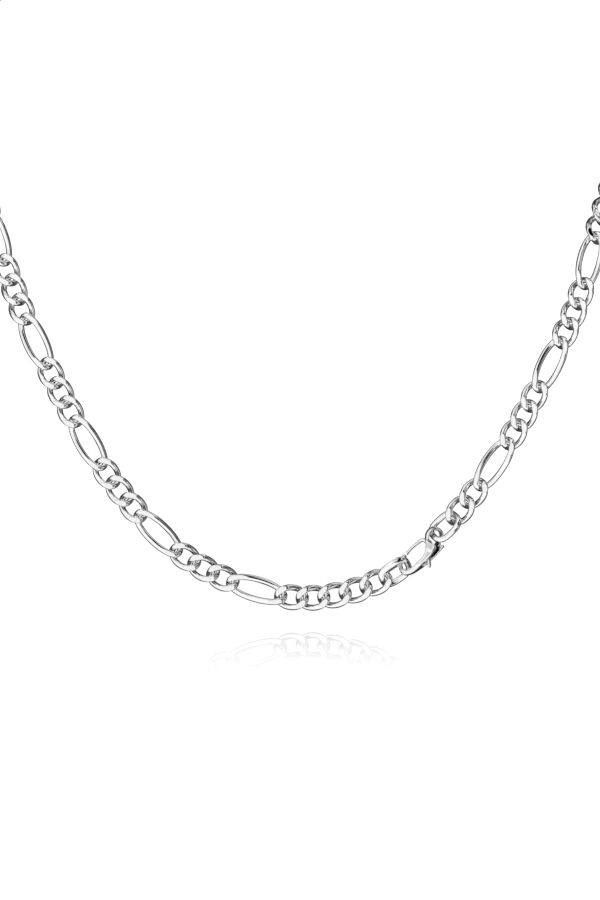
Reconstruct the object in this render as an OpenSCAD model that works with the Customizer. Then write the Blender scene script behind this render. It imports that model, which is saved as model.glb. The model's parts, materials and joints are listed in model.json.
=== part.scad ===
// A figaro chain necklace: three short oval curb links, then one long one, round a whole loop that
// a sprung lobster clasp closes. It hangs as it is worn. Millimetres, +Z up, -Y to the front.
// The origin is the middle of the back of the neck, where the chain hangs from.

/* [Loop] */
// Width of the hanging loop, from the middle of one side to the middle of the other
loop_w = 133.2; // [128:0.1:140]
// Depth of the loop, from the back of the neck to the front
loop_depth = 86; // [82:0.5:92]
// Drop of the loop, from the back of the neck to the middle of its lowest link
loop_drop = 129.3; // [124:0.1:138]

/* [Links] */
// Thickness of the round wire that every link is bent from
wire_d = 1.24; // [1:0.01:1.3]
// Outer width of every link
link_w = 5.2; // [4.6:0.1:6]
// Outer length of a short link
short_len = 6.99; // [6.5:0.01:7.6]
// Outer length of a long link
long_len = 12.65; // [11:0.01:15]
// Short links between one long link and the next
short_run = 3; // [2:1:5]
// Fewest short links that end the chain beside the clasp
last_run = 6; // [4:1:8]
// Least clearance between two links that hold each other
link_gap = 0.17; // [0.15:0.01:0.25]
// Twist of a link's end out of its own middle, degrees
link_twist = 40; // [35:1:42]

/* [Rings] */
// Outer length of the two plain rings beside the clasp
ring_len = 7.23; // [7:0.01:7.5]
// Outer width of the two plain rings
ring_w = 6.2; // [5.9:0.1:6.4]
// Extra width of the last ring's broad side
ring_face = 0.9; // [0:0.1:1]
// Turn of a plain ring about its length, degrees
ring_turn = 45; // [42:1:50]

/* [Clasp] */
// Length of the clasp's body, from the top of the eye to the bottom of the claw
clasp_len = 11.8; // [11.7:0.1:12.3]
// Depth of the body where the lever turns in it
clasp_t = 2.8; // [2.6:0.1:3.2]
// Outer diameter of the eye
eye_d = 3.8; // [3.7:0.05:4]
// Diameter of the round part of the eye's hole
eye_hole_d = 2.4; // [2.4:0.05:2.5]
// Depth of the eye
eye_t = 1.2; // [1:0.1:1.2]
// Turn of the eye out of the body's plane, towards the front, degrees
eye_turn = 50; // [50:1:55]
// Lean of the clasp to the right of upright, degrees
clasp_lean = 32.5; // [25:0.5:40]
// Turn of the clasp's slotted spine towards the front, degrees
clasp_turn = 25; // [15:1:30]

/* [Lever] */
// Thickness of the lever's plate
lever_t = 0.9; // [0.8:0.05:1]
// Clearance between the lever and each wall of its slot
lever_gap = 0.1; // [0.08:0.01:0.15]
// Diameter of the pivot pin
pin_d = 0.6; // [0.5:0.05:0.65]
// Radial clearance of the lever on its pin
pin_gap = 0.03; // [0.02:0.01:0.06]
// Clearance between the lever's tip and the nose of the claw
tip_gap = 0.2; // [0.18:0.02:0.3]

/* [Mesh] */
// Flat sides of the wire
wire_sides = 6; // [5:1:6]
// Straight pieces round a short link or a ring
short_steps = 14; // [12:2:14]
// Straight pieces round a long link
long_steps = 16; // [12:4:16]

/* [Hidden] */
$fn = 48;
silver = [0.86, 0.86, 0.88];
pale_silver = [0.93, 0.93, 0.94];
dark_silver = [0.7, 0.7, 0.73];

// How square a link's outline is: 2 is an ellipse
short_square = 2.8;
long_square = 2.8;
// Curve steps between two chosen points of a route or an outline
route_steps = 8;
outline_steps = 4;

// The chain's route between its two ends, from the clasp's eye, up the right, round the back of the
// neck, down the left and along the bottom to the claw:
// [x, y, z, way the links face (0 front, 90 right, 180 back)], all places grown to the loop's sizes
ROUTE_X = 0;
ROUTE_Y = 1;
ROUTE_Z = 2;
ROUTE_FACE = 3;
route = [
    [32, -86, -112, 0],
    [38.3, -86, -103.5, 0],
    [44.5, -85, -93.5, 0],
    [50.6, -84, -81.5, 0],
    [54.8, -82, -72.5, 0],
    [57.8, -80, -63.5, 0],
    [60, -77, -54.5, 4],
    [63.8, -70, -43, 18],
    [66.3, -58, -29, 50],
    [66.4, -42, -14, 96],
    [62.3, -27.8, -4.5, 122],
    [49.6, -14.8, -1, 142],
    [34, -5, 0, 158],
    [17, -1, 0, 170],
    [0, 0, 0, 180],
    [-17, -1, 0, 190],
    [-34, -5, 0, 202],
    [-49.6, -14.8, -1, 218],
    [-61.8, -27, -4, 225],
    [-66.8, -42, -14.4, 250],
    [-66.6, -58, -29, 300],
    [-65, -70, -42, 340],
    [-61.5, -78, -56, 356],
    [-57.6, -81, -67, 360],
    [-54, -83, -76, 360],
    [-48.1, -85, -88, 360],
    [-41.6, -86, -100, 360],
    [-35.2, -86, -109, 360],
    [-27.2, -86, -118, 360],
    [-18.3, -86, -124, 360],
    [-10, -86, -127.5, 360],
    [-2, -86, -129.3, 360],
    [6, -86, -129.1, 360],
    [14.8, -85.8, -126.6, 360]
];

// The clasp lies in its own plane: x across to the spine, y along to the eye, z out of its face.
// Its origin is beside the middle of the eye. All of its rows grow with the clasp's length.
clasp_at = [26.6, -86, -117.4];
eye_at = [0, 0.48];
hole_tip = [1.2, -1.5];
pivot_at = [0.2, -1.75];
nose_at = [-3, -5.84];
// Where the chain's two ends lie: at the eye and in the claw
eye_rest = [0.25, 1];
claw_rest = [-2, -7.72];
// The body's outline from the nose, round the inside of the claw, up the stem and down the spine
body_rows = [
    [-2.85, -6],
    [-2.8, -6.9],
    [-2.62, -7.75],
    [-2.08, -8.27],
    [-1.25, -8.3],
    [-0.6, -7.85],
    [-0.12, -6.95],
    [0.25, -5.9],
    [0.55, -4.9],
    [0.65, -4],
    [0.5, -3.1],
    [0.1, -2.35],
    [-0.45, -1.65],
    [-1, -1],
    [-1.6, -0.4],
    [-1.5, 0.1],
    [0, 0.2],
    [1.6, 0.2],
    [1.9, -0.3],
    [2.1, -1.2],
    [2.18, -2.2],
    [2.1, -3.2],
    [1.85, -4.3],
    [1.5, -5.5],
    [1.1, -6.7],
    [0.6, -7.9],
    [-0.15, -8.85],
    [-1.1, -9.42],
    [-2.1, -9.15],
    [-2.95, -8.45],
    [-3.42, -7.5],
    [-3.58, -6.6],
    [-3.52, -6],
    [-3.2, -5.8]
];
// The raised shoulder of the body's far wall
shoulder_rows = [
    [1.2, -3.2],
    [2.1, -3.2],
    [2.4, -2],
    [2.6, -0.9],
    [2.5, -0.1],
    [1.9, -0.35],
    [1.3, -1.2]
];
// Half the body's depth along it: [along, share of half of clasp_t]
depth_rows = [
    [-9.8, 0.3],
    [-9.2, 0.5],
    [-8.2, 0.62],
    [-6.6, 0.74],
    [-5.4, 1],
    [-1.15, 1]
];
neck_at = -0.55;
// Half the body's depth across it: [across, share of half of clasp_t]
across_rows = [
    [-4.5, 0.42],
    [-2.3, 0.45],
    [-1.2, 0.85],
    [-0.5, 1],
    [3.5, 1]
];
// The lever's outline: from the hub, down the arm to the tip and back, and round the thumb tab
lever_rows = [
    [0.2, -1.12],
    [-0.75, -1.05],
    [-1.6, -0.95],
    [-2.05, -1.35],
    [-2.55, -2.5],
    [-2.9, -3.7],
    [-3.2, -4.9],
    [-3.5, -6.3],
    [-2.75, -6.3],
    [-2.68, -4.9],
    [-2.4, -3.7],
    [-2, -2.6],
    [-1.5, -1.75],
    [-0.75, -1.8],
    [-0.1, -2.25],
    [0.4, -2.75],
    [0.9, -3.4],
    [1.5, -4.3],
    [2.15, -5.2],
    [2.65, -5.42],
    [2.95, -5.05],
    [2.45, -4.35],
    [1.75, -3.5],
    [1.2, -2.6],
    [0.85, -1.9],
    [0.68, -1.35]
];
slot_top = -0.85;
slot_bottom = -5.8;

// Plain helpers

function unit(v) = v / norm(v);
function signed_pow(v, e) = sign(v) * pow(abs(v), e);
function total(list, upto, i = 0, sum = 0) =
    i >= upto ? sum : total(list, upto, i + 1, sum + list[i]);
function reversed(list) = [for (i = [len(list) - 1 : -1 : 0]) list[i]];
function place(row) = [row[0], row[1], row[2]];

// Smooth curves through chosen rows, at steps between each row and the next
function curve_point(p, q, r, s, t) =
    0.5 * (2 * q + (r - p) * t + (2 * p - 5 * q + 4 * r - s) * t * t
           + (3 * q - p - 3 * r + s) * t * t * t);
function smooth(rows, steps) =
    let (last = len(rows) - 1)
    [for (i = [0 : last - 1], k = [0 : steps - 1])
         curve_point(rows[max(i - 1, 0)], rows[i], rows[i + 1], rows[min(i + 2, last)], k / steps),
     rows[last]];
function smooth_loop(rows, steps) =
    let (n = len(rows))
    [for (i = [0 : n - 1], k = [0 : steps - 1])
         curve_point(rows[(i + n - 1) % n], rows[i], rows[(i + 1) % n], rows[(i + 2) % n],
                     k / steps)];

// How much the route's rows grow to reach the loop's sizes
function reach(way, sense) = max([for (row = route) sense * row[way]]);
route_grow = [loop_w / (reach(ROUTE_X, 1) + reach(ROUTE_X, -1)), loop_depth / reach(ROUTE_Y, -1),
              loop_drop / reach(ROUTE_Z, -1)];
function grown(spot) = [for (way = [ROUTE_X : ROUTE_Z]) spot[way] * route_grow[way]];

// A spot in the clasp's middle plane, as a point of the necklace

clasp_place = grown(clasp_at);
rows_foot = min([for (row = body_rows) row[1]]);
clasp_scale = (clasp_len - eye_d / 2) / (eye_at[1] - rows_foot);
function clasp_point(spot) =
    let (across = spot[0] * clasp_scale, along = spot[1] * clasp_scale)
    clasp_place + [across * cos(clasp_turn) * cos(clasp_lean) + along * sin(clasp_lean),
                   -across * sin(clasp_turn),
                   along * cos(clasp_lean) - across * cos(clasp_turn) * sin(clasp_lean)];

// The route, with the length of chain that lies before each of its points

route_rows = [[each clasp_point(eye_rest), route[0][ROUTE_FACE]],
              for (row = route) [each grown(row), row[ROUTE_FACE]],
              [each clasp_point(claw_rest), route[len(route) - 1][ROUTE_FACE]]];
route_points = smooth(route_rows, route_steps);
function run_lengths(points) =
    [for (i = 0, sum = 0; i < len(points); i = i + 1,
          sum = sum + (i < len(points) ? norm(place(points[i]) - place(points[i - 1])) : 0))
         sum];
route_runs = run_lengths(route_points);
route_len = route_runs[len(route_runs) - 1];
route_tables = [for (c = [ROUTE_X : ROUTE_FACE])
                    [for (i = [0 : len(route_points) - 1]) [route_runs[i], route_points[i][c]]]];
function route_at(run) = [for (c = [ROUTE_X : ROUTE_FACE - 1]) lookup(run, route_tables[c])];
function face_at(run) = lookup(run, route_tables[ROUTE_FACE]);

// How many links the route takes, and where each one starts along it

short_hold = short_len - 2 * wire_d;
long_hold = long_len - 2 * wire_d;
ring_hold = ring_len - 2 * wire_d;
short_pitch = short_hold - link_gap;
repeat_pitch = short_run * short_pitch + long_hold - link_gap;
// The route's length if the two rings were short links
even_len = route_len - 2 * (ring_hold - short_hold);
repeats = floor((even_len - (last_run - 1) * short_pitch) / repeat_pitch);
end_run = ceil((even_len - repeats * repeat_pitch) / short_pitch);
link_count = repeats * (short_run + 1) + end_run;
function is_ring(i) = i == 0 || i == link_count - 1;
function is_long(i) = i < repeats * (short_run + 1) && i % (short_run + 1) == short_run;
function pick(i, ring, long, short) = is_ring(i) ? ring : is_long(i) ? long : short;
holds = [for (i = [0 : link_count - 1]) pick(i, ring_hold, long_hold, short_hold)];
real_gap = (total(holds, link_count) - route_len) / link_count;
starts = [for (i = [0 : link_count]) total(holds, i) - i * real_gap];
middle = floor(link_count / 2);

// One link's wire: a squared oval, twisted about its length, with one side as broad as asked

function wire_middle(half_len, half_w, square, lean, twist, t) =
    let (x = half_len * signed_pow(cos(t), 2 / square),
         y = half_w * signed_pow(sin(t), 2 / square),
         turn = lean - twist * x / (half_len - wire_d / 2))
    [x, y * cos(turn), y * sin(turn), turn];

function wire_ring(before, here, after, extra) =
    let (way = unit(place(after) - place(before)),
         face = [0, -sin(here[3]), cos(here[3])],
         out = unit(cross(way, face)),
         up = cross(out, way))
    [for (k = [0 : wire_sides - 1])
         let (a = (k + 0.5) * 360 / wire_sides)
         place(here) + ((wire_d + extra) * cos(a) - extra) / 2 * out + wire_d / 2 * sin(a) * up];

function link_points(half_len, half_w, square, lean, twist, broad, steps) =
    let (mid = [for (i = [0 : steps - 1])
                    wire_middle(half_len, half_w, square, lean, twist, i * 360 / steps)])
    [for (i = [0 : steps - 1])
         each wire_ring(mid[(i + steps - 1) % steps], mid[i], mid[(i + 1) % steps],
                        broad * pow(max(0, sin(i * 360 / steps)), 3))];

function link_faces(steps, first) =
    [for (i = [0 : steps - 1], k = [0 : wire_sides - 1])
         let (j = (i + 1) % steps,
              m = (k + 1) % wire_sides,
              a = first + i * wire_sides + k,
              b = first + i * wire_sides + m,
              c = first + j * wire_sides + m,
              d = first + j * wire_sides + k)
         each [[a, b, c], [a, c, d]]];

function link_steps(i) = is_long(i) ? long_steps : short_steps;

// The points of link i where it lies: it spans its own stretch of the route, face outwards
function placed_link(i, lean, twist, broad) =
    let (from = route_at(starts[i]),
         to = route_at(starts[i + 1]),
         along = unit(to - from),
         facing = face_at((starts[i] + starts[i + 1]) / 2),
         flat = [sin(facing), -cos(facing), 0],
         face = unit(flat - (flat * along) * along),
         side = cross(face, along),
         half_len = (pick(i, ring_len, long_len, short_len) - wire_d) / 2,
         half_w = (pick(i, ring_w, link_w, link_w) - wire_d) / 2,
         square = pick(i, short_square, long_square, short_square))
    [for (p = link_points(half_len, half_w, square, lean, twist, broad, link_steps(i)))
         (from + to) / 2 + p[0] * along + p[1] * side + p[2] * face];

module links(first, last, lean, twist, broad = 0) {
    sizes = [for (i = [first : last]) link_steps(i) * wire_sides];
    polyhedron(
        points = [for (i = [first : last]) each placed_link(i, lean, twist, broad)],
        faces = [for (i = [first : last])
                     each link_faces(link_steps(i), total(sizes, i - first))]);
}

// The clasp

module outline(rows) {
    polygon(smooth_loop(rows, outline_steps) * clasp_scale);
}

module at_pivot() {
    translate(pivot_at * clasp_scale) children();
}

module at_eye() {
    translate(eye_at * clasp_scale) rotate([0, eye_turn, 0]) children();
}

// The eye's hole: round, with a straight-sided point at its foot
module eye_hole() {
    way = (hole_tip - eye_at) * clasp_scale;
    reach = norm(way);
    spread = asin(eye_hole_d / 2 / reach);
    touch = eye_hole_d / 2 * cos(spread);
    back = eye_hole_d / 2 * sin(spread);
    rotate(atan2(way[1], way[0])) union() {
        circle(d = eye_hole_d);
        polygon([[back, touch], [0, 0], [back, -touch], [reach, 0]]);
    }
}

// The body's depth: thin at the eye and the nose, full at the lever, and tapered round the claw
function half_depths(rows) = [for (r = rows) [r[0] * clasp_scale, r[1] * clasp_t / 2]];
module both_sides(half) {
    polygon(concat(half, reversed([for (p = half) [p[0], -p[1]]])));
}
module depth_along() {
    both_sides([each half_depths(depth_rows),
                [neck_at * clasp_scale, eye_t / 2],
                [clasp_len, eye_t / 2]]);
}
module depth_across() {
    both_sides(half_depths(across_rows));
}

module in_clasp_place() {
    translate(clasp_place) rotate([90, 0, 0]) rotate([0, 0, -clasp_lean]) rotate([0, -clasp_turn, 0])
        children();
}

// The nodes

module chain_right() {
    color(silver) links(1, middle - 1, 0, link_twist);
}

module chain_left() {
    color(silver) links(middle, link_count - 2, 0, link_twist);
}

// Plain oval rings: they aren't twisted. One stands across the claw, and one across the eye
module end_link() {
    color(pale_silver) links(link_count - 1, link_count - 1, ring_turn, 0, ring_face);
}

module clasp_link() {
    color(pale_silver) links(0, 0, -ring_turn, 0);
}

module clasp_body() {
    slot = lever_t + 2 * lever_gap;
    wall = (clasp_t - slot) / 2;
    span = 2 * clasp_len;
    color(silver) in_clasp_place() difference() {
        union() {
            intersection() {
                translate([0, 0, -clasp_t / 2]) linear_extrude(clasp_t) outline(body_rows);
                rotate([90, 0, 90]) translate([0, 0, -span / 2]) linear_extrude(span)
                    depth_along();
                rotate([90, 0, 0]) translate([0, 0, -span / 2]) linear_extrude(span)
                    depth_across();
            }
            translate([0, 0, -clasp_t / 2]) linear_extrude(wall) outline(shoulder_rows);
            at_eye() cylinder(d = eye_d, h = eye_t, center = true);
        }
        translate([-span / 2, slot_bottom * clasp_scale, -slot / 2])
            cube([span, (slot_top - slot_bottom) * clasp_scale, slot]);
        at_pivot() cylinder(d = pin_d, h = 2 * clasp_t, center = true);
        at_eye() translate([0, 0, -clasp_t]) linear_extrude(2 * clasp_t) eye_hole();
    }
}

module clasp_lever() {
    tip_r = norm(nose_at - pivot_at) * clasp_scale - tip_gap;
    color(pale_silver) in_clasp_place() translate([0, 0, -lever_t / 2]) difference() {
        linear_extrude(lever_t) intersection() {
            outline(lever_rows);
            at_pivot() circle(r = tip_r);
        }
        at_pivot() cylinder(r = pin_d / 2 + pin_gap, h = 3 * lever_t, center = true);
    }
}

module clasp_pin() {
    color(dark_silver) in_clasp_place() at_pivot() cylinder(d = pin_d, h = clasp_t - lever_gap,
                                                             center = true);
}

chain_left();
chain_right();
end_link();
clasp_link();
clasp_body();
clasp_lever();
clasp_pin();
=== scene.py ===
"""A polished silver figaro chain that hangs in its loop, with a lobster clasp at the front."""

import json
import logging
import math
from dataclasses import dataclass, field
from enum import Enum
from typing import Any, Callable, Sequence

import bmesh
import bpy
import numpy as np
from mathutils import Matrix, Quaternion, Vector

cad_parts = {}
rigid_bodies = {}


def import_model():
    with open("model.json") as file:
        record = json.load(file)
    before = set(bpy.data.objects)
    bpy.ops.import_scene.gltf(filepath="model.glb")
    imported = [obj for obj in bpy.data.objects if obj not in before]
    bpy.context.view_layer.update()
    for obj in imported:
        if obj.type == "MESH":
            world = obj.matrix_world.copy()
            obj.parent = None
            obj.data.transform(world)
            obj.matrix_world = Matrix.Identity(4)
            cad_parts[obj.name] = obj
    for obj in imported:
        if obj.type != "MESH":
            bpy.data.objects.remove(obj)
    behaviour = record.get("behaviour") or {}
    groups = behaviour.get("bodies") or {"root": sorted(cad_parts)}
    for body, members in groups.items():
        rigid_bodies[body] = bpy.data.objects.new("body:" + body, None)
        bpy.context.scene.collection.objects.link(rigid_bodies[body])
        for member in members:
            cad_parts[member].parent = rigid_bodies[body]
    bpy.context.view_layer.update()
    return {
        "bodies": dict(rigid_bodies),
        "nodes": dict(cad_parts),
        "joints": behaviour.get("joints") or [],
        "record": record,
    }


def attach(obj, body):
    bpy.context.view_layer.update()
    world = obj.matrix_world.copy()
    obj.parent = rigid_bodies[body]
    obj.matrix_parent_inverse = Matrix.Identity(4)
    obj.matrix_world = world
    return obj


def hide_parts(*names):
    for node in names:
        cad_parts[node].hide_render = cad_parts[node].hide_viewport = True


logging.basicConfig(level=logging.INFO, format="%(message)s")
log = logging.getLogger("figaro")

Mesh = bpy.types.Mesh
Socket = bpy.types.NodeSocket
Pair = tuple[float, float]
Triple = tuple[float, float, float]
Outline = tuple[Pair, ...]

# Lengths in metres: a millimetre, and how near two vertices are one
MM = 0.001
SAME_SPOT = 1e-7
HALF_TURN = 180.0
UNIT: Pair = (0.0, 1.0)
WHITE = (1.0, 1.0, 1.0, 1.0)


# -------- helpers


def new_object(name: str, data: bpy.types.ID) -> bpy.types.Object:
    """Links a new object that holds a mesh or a camera.

    Args:
        name: The object's name.
        data: The mesh, in metres, or the camera.

    Returns:
        The linked object, at the origin.
    """
    piece = bpy.data.objects.new(name, data)
    bpy.context.scene.collection.objects.link(piece)
    return piece


def baked(piece: bpy.types.Object) -> Mesh:
    """Turns an object with its modifiers into a plain mesh.

    Args:
        piece: The object to evaluate.

    Returns:
        A new mesh that nothing else uses.
    """
    graph = bpy.context.evaluated_depsgraph_get()
    return bpy.data.meshes.new_from_object(piece.evaluated_get(graph), depsgraph=graph)


def bake_in_place(piece: bpy.types.Object) -> None:
    """Replaces an object's mesh by its evaluated one and drops the modifiers.

    Args:
        piece: The object, whose old mesh is left behind.
    """
    mesh = baked(piece)
    piece.modifiers.clear()
    piece.data = mesh


def between(p: Any, q: Any, r: Any, s: Any, t: float) -> Any:
    """A point of the smooth curve from q to r, with p before and s after: t is 0 to 1."""
    return 0.5 * (2 * q + (r - p) * t + (2 * p - 5 * q + 4 * r - s) * t * t
                  + (3 * q - p - 3 * r + s) * t ** 3)


# -------- finishes


class NodeBuilder:
    """Adds nodes to a node tree and links them."""

    def __init__(self, tree: bpy.types.NodeTree) -> None:
        """Keeps the tree to build in."""
        self.tree = tree

    @classmethod
    def on(cls, owner: bpy.types.Material | bpy.types.World) -> "NodeBuilder":
        """Empties the node tree of a material or world, and builds there.

        Args:
            owner: The new material or world.

        Returns:
            A builder of its tree.
        """
        owner.use_nodes = True
        owner.node_tree.nodes.clear()
        return cls(owner.node_tree)

    def add(self, kind: str, inputs: dict[Any, Any] | None = None,
            **settings: Any) -> bpy.types.Node:
        """Adds one node.

        Args:
            kind: Blender's name of the node type.
            inputs: Value or source socket of each input, by name or number.
            **settings: The node's own properties.

        Returns:
            The new node.
        """
        node = self.tree.nodes.new(kind)
        for name, value in settings.items():
            setattr(node, name, value)
        for key, value in (inputs or {}).items():
            self.feed(self.live(node.inputs, key), value)
        return node

    @staticmethod
    def live(sockets: Any, key: Any) -> Socket:
        """Finds a socket by number, or by name among those that the settings switch on.

        Args:
            sockets: The node's inputs or outputs.
            key: The number or name.

        Returns:
            The socket.
        """
        if isinstance(key, int):
            return sockets[key]
        return next(s for s in sockets if s.name == key and s.enabled)

    def feed(self, socket: Socket, value: Any) -> None:
        """Links a socket to a source, or sets it.

        Args:
            socket: The input socket.
            value: An output socket, or a plain value.
        """
        if isinstance(value, Socket):
            self.tree.links.new(value, socket)
        else:
            socket.default_value = value

    def math(self, operation: str, *values: Any) -> Socket:
        """Adds a Math node and returns its result."""
        node = self.add("ShaderNodeMath", dict(enumerate(values)), operation=operation)
        return node.outputs[0]

    def vector(self, operation: str, a: Any, b: Any, result: str = "Vector") -> Socket:
        """Adds a Vector Math node and returns its result."""
        return self.add("ShaderNodeVectorMath", {0: a, 1: b}, operation=operation).outputs[result]

    def ranged(self, value: Any, source: Pair, result: Pair, **settings: Any) -> Socket:
        """Maps one range of numbers to another, and returns the result."""
        return self.add("ShaderNodeMapRange", {
            "Value": value, "From Min": source[0], "From Max": source[1],
            "To Min": result[0], "To Max": result[1]}, **settings).outputs["Result"]

    def blended(self, factor: Any, a: Any, b: Triple) -> Socket:
        """Mixes a colour with a fixed one, and returns the result."""
        node = self.add("ShaderNodeMix", {"Factor": factor, "A": a, "B": (*b, 1.0)},
                        data_type="RGBA")
        return self.live(node.outputs, "Result")

    def parts(self, vector: Any) -> Any:
        """Takes a vector apart, into outputs named X, Y and Z."""
        return self.add("ShaderNodeSeparateXYZ", {"Vector": vector}).outputs

    def joined(self, x: Any, y: Any, z: Any) -> Socket:
        """Makes a vector of three numbers."""
        return self.add("ShaderNodeCombineXYZ", {"X": x, "Y": y, "Z": z}).outputs[0]

    def scaled(self, a: Any, factor: Any) -> Socket:
        """Returns a vector times a number."""
        return self.add("ShaderNodeVectorMath", {0: a, "Scale": factor},
                        operation="SCALE").outputs["Vector"]


@dataclass(frozen=True)
class SilverFinish:
    """Polished silver, with the fine unevenness that polishing leaves.

    Scales are in waves a metre and depths in metres. Where its share of painted shade is more than
    0, an attribute of the mesh paints shade into the silver, darkening it by up to that share.
    """

    name: str
    colour: Triple
    gloss: Pair
    cloud_scale: float
    dent: float
    scratch: float
    painted_shade: float = 0.0
    cloud_detail: float = 3.0
    cloud_rough: float = 0.6
    cloud_span: Pair = (0.35, 0.7)
    hair_detail: float = 2.0
    hair_finer: float = 9.0
    hair_squash: Triple = (1.0, 1.0, 6.0)
    dent_depth: float = 0.00005
    scratch_depth: float = 0.00001

    def material(self) -> bpy.types.Material:
        """Builds the node material.

        Returns:
            The material.
        """
        made = bpy.data.materials.new(self.name)
        nodes = NodeBuilder.on(made)
        place = nodes.add("ShaderNodeTexCoord").outputs["Object"]
        cloud = nodes.add("ShaderNodeTexNoise", {
            "Vector": place, "Scale": self.cloud_scale, "Detail": self.cloud_detail,
            "Roughness": self.cloud_rough}).outputs["Fac"]
        rough = nodes.ranged(cloud, self.cloud_span, self.gloss)
        squashed = nodes.add("ShaderNodeMapping", {"Vector": place, "Scale": self.hair_squash})
        hair = nodes.add("ShaderNodeTexNoise", {
            "Vector": squashed.outputs["Vector"], "Scale": self.cloud_scale * self.hair_finer,
            "Detail": self.hair_detail}).outputs["Fac"]
        dents = nodes.add("ShaderNodeBump", {
            "Height": cloud, "Strength": self.dent, "Distance": self.dent_depth})
        fine = nodes.add("ShaderNodeBump", {
            "Height": hair, "Strength": self.scratch, "Distance": self.scratch_depth,
            "Normal": dents.outputs["Normal"]})
        skin = nodes.add("ShaderNodeBsdfPrincipled", {
            "Base Color": (*self.colour, 1.0), "Metallic": 1.0, "Roughness": rough,
            "Normal": fine.outputs["Normal"]})
        if self.painted_shade:
            # Painted shade: the attribute darkens the silver where the slot's walls lie in shade.
            amount = nodes.add("ShaderNodeAttribute", attribute_name="painted_shade").outputs["Fac"]
            r, g, b = (v * (1 - self.painted_shade) for v in self.colour)
            shaded_colour = nodes.blended(amount, (*self.colour, 1.0), (r, g, b))
            nodes.feed(skin.inputs["Base Color"], shaded_colour)
        nodes.add("ShaderNodeOutputMaterial", {"Surface": skin.outputs["BSDF"]})
        return made


class Silver(Enum):
    """The finishes of the necklace's pieces."""

    WIRE = SilverFinish("polished_wire", (0.94, 0.94, 0.943), (0.03, 0.08), 900.0, 0.1, 0.04)
    RING = SilverFinish("polished_ring", (0.95, 0.95, 0.953), (0.03, 0.08), 900.0, 0.1, 0.04)
    # The cast body, pin and lever are painted up to 0.94 darker where the slot's walls lie in
    # shade.
    CAST = SilverFinish("tumbled_cast", (0.9, 0.9, 0.905), (0.14, 0.26), 700.0, 0.25, 0.12,
                        painted_shade=0.94)
    LEVER = SilverFinish("tumbled_lever", (0.94, 0.94, 0.945), (0.12, 0.22), 800.0, 0.2, 0.1,
                         painted_shade=0.94)


# -------- the chain


@dataclass
class Route:
    """The chain's route between its two ends, smoothed as the solids' source does it.

    A row holds x, y and z in millimetres, and the way that the links face, in degrees from the
    front. The rests are the spots of the clasp that the two rings hang on.
    """

    rows: tuple[tuple[float, float, float, float], ...] = (
        (32, -86, -112, 0), (38.3, -86, -103.5, 0), (44.5, -85, -93.5, 0), (50.6, -84, -81.5, 0),
        (54.8, -82, -72.5, 0), (57.8, -80, -63.5, 0), (60, -77, -54.5, 4), (63.8, -70, -43, 18),
        (66.3, -58, -29, 50), (66.4, -42, -14, 96), (62.3, -27.8, -4.5, 122),
        (49.6, -14.8, -1, 142), (34, -5, 0, 158), (17, -1, 0, 170), (0, 0, 0, 180),
        (-17, -1, 0, 190), (-34, -5, 0, 202), (-49.6, -14.8, -1, 218), (-61.8, -27, -4, 225),
        (-66.8, -42, -14.4, 250), (-66.6, -58, -29, 300), (-65, -70, -42, 340),
        (-61.5, -78, -56, 356), (-57.6, -81, -67, 360), (-54, -83, -76, 360),
        (-48.1, -85, -88, 360), (-41.6, -86, -100, 360), (-35.2, -86, -109, 360),
        (-27.2, -86, -118, 360), (-18.3, -86, -124, 360), (-10, -86, -127.5, 360),
        (-2, -86, -129.3, 360), (6, -86, -129.1, 360), (14.8, -85.8, -126.6, 360))
    clasp_at: Triple = (26.6, -86, -117.4)
    clasp_lean: float = 32.5
    clasp_turn: float = 25.0
    eye_rest: Pair = (0.25, 1.0)
    claw_rest: Pair = (-2.0, -7.72)
    steps: int = 8

    def clasp_point(self, across: float, along: float, out: float = 0.0) -> np.ndarray:
        """A spot of the clasp, as a point of the necklace, in millimetres.

        Args:
            across: Distance towards the clasp's spine.
            along: Distance towards its eye.
            out: Distance out of its face.

        Returns:
            The point.
        """
        lean, turn = math.radians(self.clasp_lean), math.radians(self.clasp_turn)
        side = across * math.cos(turn) - out * math.sin(turn)
        front = -across * math.sin(turn) - out * math.cos(turn)
        return np.array(self.clasp_at) + (side * math.cos(lean) + along * math.sin(lean), front,
                                          along * math.cos(lean) - side * math.sin(lean))

    def smoothed(self) -> np.ndarray:
        """The route's points and facings, with even steps between chosen rows.

        Returns:
            Rows of x, y, z and facing.
        """
        rows = [(*self.clasp_point(*self.eye_rest), self.rows[0][3]), *self.rows,
                (*self.clasp_point(*self.claw_rest), self.rows[-1][3])]
        table = np.array(rows, float)
        last = len(table) - 1
        out = []
        for i in range(last):
            p, q = table[max(i - 1, 0)], table[i]
            r, s = table[i + 1], table[min(i + 2, last)]
            out += [between(p, q, r, s, k / self.steps) for k in range(self.steps)]
        out.append(table[last])
        return np.array(out)


class LinkKind(Enum):
    """The four shapes of link, with the number that the node tree picks each one by."""

    SHORT = 0
    LONG = 1
    CLAW_RING = 2
    EYE_RING = 3


@dataclass
class Placement:
    """Where one link lies: its middle, its turn and its kind."""

    middle: Vector
    turn: Quaternion
    kind: LinkKind


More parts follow.
